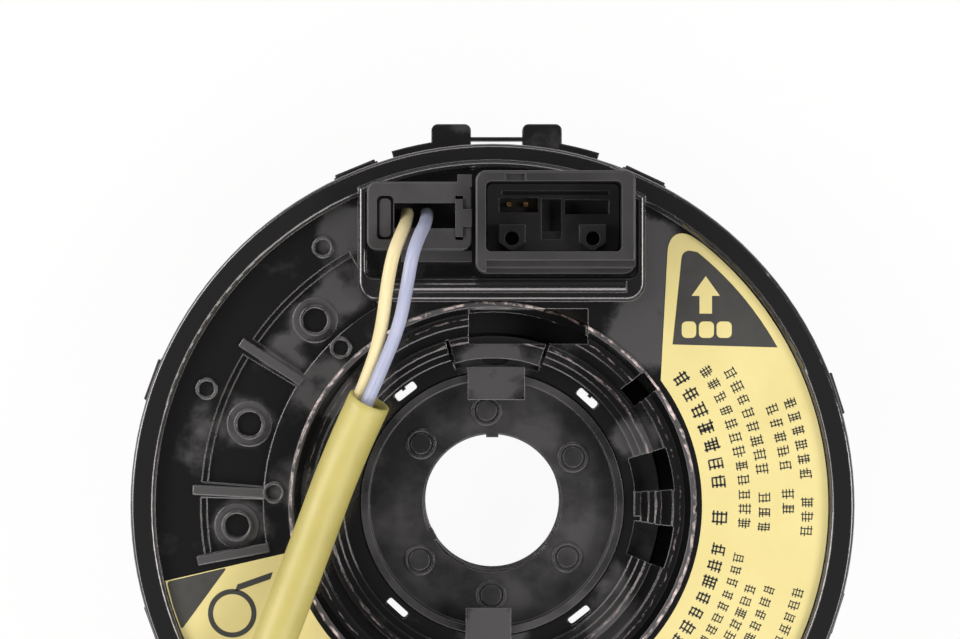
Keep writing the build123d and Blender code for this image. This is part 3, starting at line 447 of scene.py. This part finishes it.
# %% Contact metal
def contact_metal(name, low, high):
    """Plated copper alloy with drawing marks along the pin."""
    material, tree, surface = shader(name)
    surface.inputs["Metallic"].default_value = 1.0
    tree.links.new(drift(tree, noise(tree, 900, 3), (low, high)), surface.inputs["Base Color"])
    marks = noise(tree, 3500, 2, (1, 1, 0.05))
    tree.links.new(drift(tree, marks, (0.18, 0.36)), surface.inputs["Roughness"])
    return material


gold = contact_metal("gold flash", (0.62, 0.34, 0.10), (0.85, 0.55, 0.22))
copper = contact_metal("tinned copper", (0.50, 0.30, 0.16), (0.68, 0.47, 0.30))
print("contact metals made")


# %% Vinyl
def vinyl(name, low, high, gloss, scatter, radius=(1.0, 0.8, 0.3), shine=0.5):
    """Extruded vinyl: faint colour drift, fine skin and some subsurface scattering."""
    material, tree, surface = shader(name)
    tree.links.new(drift(tree, noise(tree, 160, 3), (low, high)), surface.inputs["Base Color"])
    tree.links.new(drift(tree, noise(tree, 420, 3), gloss), surface.inputs["Roughness"])
    surface.inputs["Specular IOR Level"].default_value = shine
    surface.inputs["Subsurface Weight"].default_value = scatter
    surface.inputs["Subsurface Radius"].default_value = radius
    surface.inputs["Subsurface Scale"].default_value = 0.8 * mm
    tree.links.new(bumped(tree, noise(tree, 1900, 3), 0.25, 0.03), surface.inputs["Normal"])
    return material


yellow_vinyl = vinyl(
    "yellow insulation", (0.70, 0.615, 0.33), (0.76, 0.67, 0.40), (0.3, 0.42), 0.1,
)
violet_vinyl = vinyl(
    "violet insulation", (0.35, 0.385, 0.515), (0.40, 0.435, 0.57), (0.3, 0.42), 0.1,
    radius=(0.5, 0.5, 1.0),
)
sleeve_vinyl = vinyl(
    "sleeve vinyl", (0.465, 0.41, 0.105), (0.52, 0.46, 0.13), (0.48, 0.56), 0.3, shine=1.0,
)
for piece, finish in ((yellow_wire, yellow_vinyl), (violet_wire, violet_vinyl), (sleeve, sleeve_vinyl)):
    piece.data.materials.append(finish)
print("finishes made:", len(bpy.data.materials))


# %% Dress the solid pieces
finishes = {
    "rotor_disc": rotor_black, "hub_sleeve": hub_black, "cancel_cam": acetal,
    "front_slip_sheet": film, "rear_slip_sheet": film, "ribbon_cable": laminate,
    "ribbon_inner_clip": acetal, "ribbon_outer_clip": acetal, "switch_socket": socket_black,
    "terminal_holder": holder_black, "switch_pins": gold, "airbag_holder": latch_black,
    "airbag_latch": latch_black, "lead_terminals": copper, "stator_case": stator_black,
    "back_cover": cover_black, "harness_socket": socket_black, "harness_pins": gold,
    "plug_shell": plug_yellow, "plug_terminals": copper, "plug_lock": lock_white,
}
for name, finish in finishes.items():
    piece = nodes[name]
    piece.data.materials.clear()
    piece.data.materials.append(finish)
print("dressed", len(finishes), "pieces")


# %% [markdown]
# ## Lips on the cover's clips
# The back cover hangs on eight clips that spring over lugs on the case. Each clip gets a thin lip
# along its upper edge, by which a thumb or a blade could lift it off its lug. A cube stretched
# along the clip is enough: over so short an arc the curve is a tenth of a millimetre.

# %% Clip lips
clip_angles = (17.7, 65.0, 112.3, 160.0, 200.0, 247.7, 295.0, 342.3)
lip_radius, lip_level = 55.65, 16.0
lip_size = (0.6, 6.6, 0.6)
lip_edge = 0.15
lips_bm = bmesh.new()
for angle in clip_angles:
    turned = Matrix.Rotation(radians(angle), 4, "Z")
    place = turned @ Matrix.Translation((lip_radius * mm, 0, lip_level * mm))
    stretch = Matrix.Diagonal((*[side * mm for side in lip_size], 1))
    bmesh.ops.create_cube(lips_bm, size=1.0, matrix=place @ stretch)
bmesh.ops.bevel(
    lips_bm, geom=lips_bm.edges[:], affect="EDGES", offset=lip_edge * mm, segments=2, profile=0.5,
    material=-1,
)
lips_data = bpy.data.meshes.new("clip_lips")
lips_bm.to_mesh(lips_data)
lips_bm.free()
lips_data.materials.append(cover_black)
clip_lips = bpy.data.objects.new("clip_lips", lips_data)
scene.collection.objects.link(clip_lips)
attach(clip_lips, "stator")
print("clip lips:", len(clip_angles))


# %% [markdown]
# ## The label
# A printed film lies on the face from the lower left round to the right of the switch socket. Its
# outline is a ring sector with one straight end. A radial edge is spun about the shaft's axis for
# the sector, one cutting plane makes the straight end, and a vertex bevel rounds its corner.

# %% Helpers: flat pieces from a bmesh
same_point = 1e-6


def flat_piece(name, mesh, finish, low_z, thickness):
    """Gives a flat bmesh at z = 0 a thickness, sets it at a height and makes it a piece on the rotor."""
    bmesh.ops.remove_doubles(mesh, verts=mesh.verts, dist=same_point)
    bmesh.ops.recalc_face_normals(mesh, faces=mesh.faces)
    if sum(face.normal.z * face.calc_area() for face in mesh.faces) < 0:
        bmesh.ops.reverse_faces(mesh, faces=mesh.faces)
    copied = bmesh.ops.extrude_face_region(mesh, geom=mesh.faces[:], use_keep_orig=True)
    top = [part for part in copied["geom"] if isinstance(part, bmesh.types.BMVert)]
    bmesh.ops.translate(mesh, verts=top, vec=(0, 0, thickness * mm))
    bmesh.ops.translate(mesh, verts=mesh.verts, vec=(0, 0, low_z * mm))
    bmesh.ops.recalc_face_normals(mesh, faces=mesh.faces)
    data = bpy.data.meshes.new(name)
    mesh.to_mesh(data)
    mesh.free()
    data.materials.append(finish)
    piece = bpy.data.objects.new(name, data)
    scene.collection.objects.link(piece)
    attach(piece, "rotor")
    return piece


def on_arc(radius, angle):
    """The place on a circle round the shaft at an angle in degrees."""
    return radius * cos(radians(angle)), radius * sin(radians(angle))


def point(mesh, x, y):
    """A vertex at z = 0, its place in millimetres."""
    return mesh.verts.new((x * mm, y * mm, 0))


def round_corners(mesh, corners, offset, segments=5):
    """Rounds corners of a flat outline, from a distance in millimetres on both sides of each."""
    bmesh.ops.bevel(
        mesh, geom=corners, affect="VERTICES", offset=offset * mm, segments=segments, profile=0.5,
        material=-1,
    )


def top_corner(mesh):
    """The vertex furthest towards the top of the wheel."""
    return max(mesh.verts, key=lambda vertex: vertex.co.y)


def spun_sector(mesh, inner, outer, first_angle, span, steps):
    """A ring sector: a radial edge spun about the shaft's axis. Millimetres and degrees."""
    ends = [point(mesh, *on_arc(radius, first_angle)) for radius in (inner, outer)]
    edge = mesh.edges.new(ends)
    bmesh.ops.spin(
        mesh, geom=[*ends, edge], cent=(0, 0, 0), axis=(0, 0, 1), angle=radians(span), steps=steps,
        use_duplicate=False,
    )


print("label helpers ready")


# %% Helper: printed film
def printed_film(name, low, high, gloss):
    """Printed polyester film: faint mottling, a satin varnish and a slight waviness."""
    material, tree, surface = shader(name)
    tree.links.new(drift(tree, noise(tree, 90, 4), (low, high)), surface.inputs["Base Color"])
    tree.links.new(drift(tree, noise(tree, 700, 3), gloss), surface.inputs["Roughness"])
    tree.links.new(bumped(tree, noise(tree, 260, 2), 0.2, 0.04), surface.inputs["Normal"])
    return material


label_khaki = printed_film("label khaki", (0.66, 0.58, 0.24), (0.72, 0.64, 0.28), (0.42, 0.55))
label_ink = printed_film("label ink", (0.035, 0.036, 0.034), (0.050, 0.052, 0.048), (0.40, 0.52))
print("films ready")


# %% Label sheet
label_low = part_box("label_sheet")[0].z / mm
label_thickness = 0.15
label_inner, label_outer = 31.9, 51.1
edge_foot, edge_head = (25.6, 19.0), (27.3, 51.1)
head_reach = 4.8
label_bm = bmesh.new()
spun_sector(label_bm, label_inner, label_outer, first_angle=15.0, span=60.0, steps=40)
line_x, line_y = edge_head[0] - edge_foot[0], edge_head[1] - edge_foot[1]
bmesh.ops.bisect_plane(
    label_bm, geom=label_bm.verts[:] + label_bm.edges[:] + label_bm.faces[:],
    plane_co=(edge_foot[0] * mm, edge_foot[1] * mm, 0), plane_no=(-line_y, line_x, 0),
    clear_outer=True,
)
bmesh.ops.dissolve_faces(label_bm, faces=label_bm.faces[:])
# A bevel stops at the next vertex, so the arc's vertices within its reach go first.
head = top_corner(label_bm)
too_near = (head_reach + 0.6) * mm
near_head = [vertex for vertex in label_bm.verts if 0 < (vertex.co - head.co).length < too_near]
bmesh.ops.dissolve_verts(label_bm, verts=near_head)
round_corners(label_bm, [head], head_reach, segments=10)
spun_sector(label_bm, label_inner, label_outer, first_angle=-167.0, span=182.0, steps=120)
label = flat_piece("label", label_bm, label_khaki, label_low, label_thickness)
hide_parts("label_sheet")
print("label sheet:", len(label.data.polygons), "faces")


# %% [markdown]
# ## The label's print
# Ink is a skin far thinner than the film, so each printed shape is a plate of a few hundredths of a
# millimetre on top of it. The print is a dark field with an arrow that points to the top of the
# wheel, a dark corner at the other end, and rows of small hatch marks along arcs. Random lengths
# and shifts keep the marks from looking stamped, and a fixed seed keeps them the same each time.

# %% Print: the dark field and its arrow
ink_low = label_low + label_thickness
ink_thickness = 0.02


def polygon(mesh, corners):
    """One flat face; gives its vertices."""
    vertices = [point(mesh, x, y) for x, y in corners]
    mesh.faces.new(vertices)
    return vertices


def printed(name, mesh, finish, layer=0):
    """A flat bmesh as ink on the label, or on ink that lies there already."""
    return flat_piece(name, mesh, finish, ink_low + layer * ink_thickness, ink_thickness)


field_bm = bmesh.new()
field_rim = [on_arc(49.6, angle) for angle in range(29, 52, 2)]
polygon(field_bm, [(27.4, 24.5)] + field_rim + [(28.9, 39.0)])
round_corners(field_bm, [top_corner(field_bm)], 1.3)
printed("label_field", field_bm, label_ink)

arrow_bm = bmesh.new()
arrow_tip, arrow_neck, arrow_foot = 34.9, 31.9, 29.2
polygon(arrow_bm, [
    (32.45, arrow_tip), (30.3, arrow_neck), (31.5, arrow_neck), (31.5, arrow_foot),
    (33.4, arrow_foot), (33.4, arrow_neck), (34.6, arrow_neck),
])
printed("label_arrow", arrow_bm, label_khaki, layer=1)

blocks_bm = bmesh.new()
blocks_foot, blocks_head = 25.5, 28.0
for low_x, high_x in ((28.8, 31.0), (31.4, 33.7), (34.1, 36.4)):
    block = polygon(blocks_bm, [
        (low_x, blocks_foot), (high_x, blocks_foot), (high_x, blocks_head), (low_x, blocks_head),
    ])
    round_corners(blocks_bm, block, 0.7)
printed("label_blocks", blocks_bm, label_khaki, layer=1)
print("dark field, arrow and blocks printed")


# %% Print: rows of hatch marks along arcs
random.seed(4)
pitch_in_sizes = 1.22
double_gap_chance = 0.07


def stroke(mesh, radius, angle, width, height):
    """One short printed stroke, its width along the arc."""
    made = bmesh.ops.create_grid(mesh, x_segments=1, y_segments=1, size=0.5 * mm)
    bmesh.ops.scale(mesh, verts=made["verts"], vec=(height, width, 1))
    x, y = on_arc(radius, angle)
    place = Matrix.Translation((x * mm, y * mm, 0)) @ Matrix.Rotation(radians(angle), 4, "Z")
    bmesh.ops.transform(mesh, verts=made["verts"], matrix=place)


def row(mesh, radius, first_angle, last_angle, size, weight):
    """A row of plain marks between two angles: each is four thin bars crossed by two or three more."""
    angle = first_angle
    while angle > last_angle:
        width = size * random.uniform(0.8, 1.0)
        for bar in (-1.5, -0.5, 0.5, 1.5):
            length = width * random.uniform(0.6, 1.0)
            shift = (width - length) * random.uniform(-0.5, 0.5)
            across = radius + bar * size * random.uniform(0.25, 0.3)
            stroke(mesh, across, angle + degrees(shift / radius), length, weight)
        for side in random.choice(((-1, 1), (-1, 0, 1), (-1, 1))):
            shift = width * (side * 0.24 + random.uniform(-0.06, 0.06))
            depth = size * random.uniform(0.85, 1.1)
            stroke(mesh, radius, angle + degrees(shift / radius), weight, depth)
        gaps = 2 if random.random() < double_gap_chance else 1
        angle -= degrees(size * pitch_in_sizes / radius) * gaps


# A row is a radius, its first and last angle, the size of its marks and the weight of their strokes.
large, middle, small = (2.3, 0.27), (1.8, 0.17), (1.6, 0.16)
upper_rows = [
    (34.6, 34, -6, *large), (38.4, 32, -5, *middle), (41.4, 29, -5, *middle),
    (45.0, 19, -1, *middle), (47.9, 19, -5, *middle),
]
right_rows = [
    (35.0, -11, -56, 2.1, 0.24), (38.3, -12, -54, *small), (41.2, -18, -52, *small),
    (44.0, -17, -50, *small), (48.3, -16, -58, *small),
]
lower_rows = [
    (35.4, -66, -140, 2.2, 0.26), (39.4, -64, -138, *middle), (43.2, -66, -136, *middle),
    (47.0, -66, -134, *middle),
]
rows_bm = bmesh.new()
for radius, first, last, size, weight in upper_rows + right_rows + lower_rows:
    row(rows_bm, radius, first, last, size, weight)
strokes = len(rows_bm.faces)
printed("label_rows", rows_bm, label_ink)
print("strokes:", strokes)


# %% Print: the lower left end
ring_radius, ring_bore_share = 3.7, 0.79
ring_place = (-39.6, -16.4)
end_bm = bmesh.new()
end_corner = polygon(end_bm, [(-49.55, -11.6), (-48.6, -15.3), (-47.3, -18.9), (-40.4, -9.45)])
round_corners(end_bm, end_corner, 0.5)
outer_ring = bmesh.ops.create_circle(end_bm, segments=40, radius=ring_radius * mm)["verts"]
ring_edges = list({edge for vertex in outer_ring for edge in vertex.link_edges})
widened = bmesh.ops.extrude_edge_only(end_bm, edges=ring_edges)
inner_ring = [part for part in widened["geom"] if isinstance(part, bmesh.types.BMVert)]
bmesh.ops.scale(end_bm, verts=inner_ring, vec=(ring_bore_share, ring_bore_share, 1))
bmesh.ops.translate(
    end_bm, verts=outer_ring + inner_ring, vec=(ring_place[0] * mm, ring_place[1] * mm, 0),
)
polygon(end_bm, [(-39.2, -13.1), (-38.8, -12.0), (-33.4, -10.1), (-33.8, -11.2)])
printed("label_end", end_bm, label_ink)
print("label end printed")


# %% [markdown]
# ## Floor, light and world
# Product pictures of black plastic live on reflections: the faces go dark and the edges draw
# bright lines. Six soft lamps stand round the disc, all low, so that flat faces mirror the dark
# sky above while rounded edges catch a lamp. The widest stands in front, for the edges that run
# across; the strongest stands low on the left, for the sheen along the sleeve. The floor answers
# the camera with white, and with a small share of its own shading, so the object's shadow stays.

# %% Floor
floor_half_width = 1.5
floor_drop = 0.05 * mm
white_share = 0.94
floor_bm = bmesh.new()
bmesh.ops.create_grid(floor_bm, x_segments=1, y_segments=1, size=floor_half_width)
floor_data = bpy.data.meshes.new("floor")
floor_bm.to_mesh(floor_data)
floor_bm.free()
floor = bpy.data.objects.new("floor", floor_data)
floor.location.z = -floor_drop
scene.collection.objects.link(floor)
floor_material, tree, surface = shader("pale floor")
surface.inputs["Base Color"].default_value = (0.8, 0.8, 0.8, 1)
surface.inputs["Roughness"].default_value = 0.9
paths = node(tree, "ShaderNodeLightPath")
glow = node(tree, "ShaderNodeEmission", Strength=1.0)
blend = node(tree, "ShaderNodeMixShader")
share = node(tree, "ShaderNodeMath", operation="MULTIPLY")
share.inputs[1].default_value = white_share
tree.links.new(paths.outputs["Is Camera Ray"], share.inputs[0])
tree.links.new(share.outputs[0], blend.inputs["Fac"])
tree.links.new(surface.outputs["BSDF"], blend.inputs[1])
tree.links.new(glow.outputs["Emission"], blend.inputs[2])
tree.links.new(blend.outputs["Shader"], tree.nodes["Material Output"].inputs["Surface"])
floor_data.materials.append(floor_material)
print("floor laid")

# %% World
world = bpy.data.worlds.new("world")
scene.world = world
world.use_nodes = True
sky = world.node_tree
backdrop = sky.nodes["Background"]
direction = node(sky, "ShaderNodeTexCoord")
sky_parts = node(sky, "ShaderNodeSeparateXYZ")
sky.links.new(direction.outputs["Generated"], sky_parts.inputs["Vector"])
horizon, halfway, overhead = (0.0, 0.62), (0.45, 0.50), (0.85, 0.06)
brightness = ramp(sky, sky_parts.outputs["Z"], [horizon, halfway, overhead])
sky.links.new(brightness, backdrop.inputs["Color"])
backdrop.inputs["Strength"].default_value = 0.5
scene.view_settings.view_transform = "Standard"
print("sky set")


# %% Lamps
lamp_distance = 0.9
pink_white = (1.0, 0.95, 0.94)


def soft_lamp(name, bearing, elevation, width, depth, power):
    """A rectangular area lamp aimed at the disc. Degrees, metres, watts."""
    data = bpy.data.lights.new(name, "AREA")
    data.shape = "RECTANGLE"
    data.size, data.size_y = width, depth
    data.energy = power
    data.color = pink_white
    lamp = bpy.data.objects.new(name, data)
    flat_x, flat_y = on_arc(cos(radians(elevation)), bearing)
    place = Vector((flat_x, flat_y, sin(radians(elevation)))) * lamp_distance
    lamp.location = place
    lamp.rotation_euler = (-place).to_track_quat("-Z", "Y").to_euler()
    scene.collection.objects.link(lamp)


# A softbox is a bearing, an elevation, a width, a depth and a power.
softboxes = [
    (-90, 46, 0.9, 0.5, 4.6), (-30, 48, 0.5, 0.3, 1.5), (5, 46, 0.35, 0.3, 2.6),
    (90, 52, 0.5, 0.3, 1.2), (156, 33, 0.7, 0.3, 5.0), (190, 46, 0.5, 0.3, 1.8),
]
for number, softbox in enumerate(softboxes):
    soft_lamp(f"softbox {number}", *softbox)
print("lamps set:", len(softboxes))
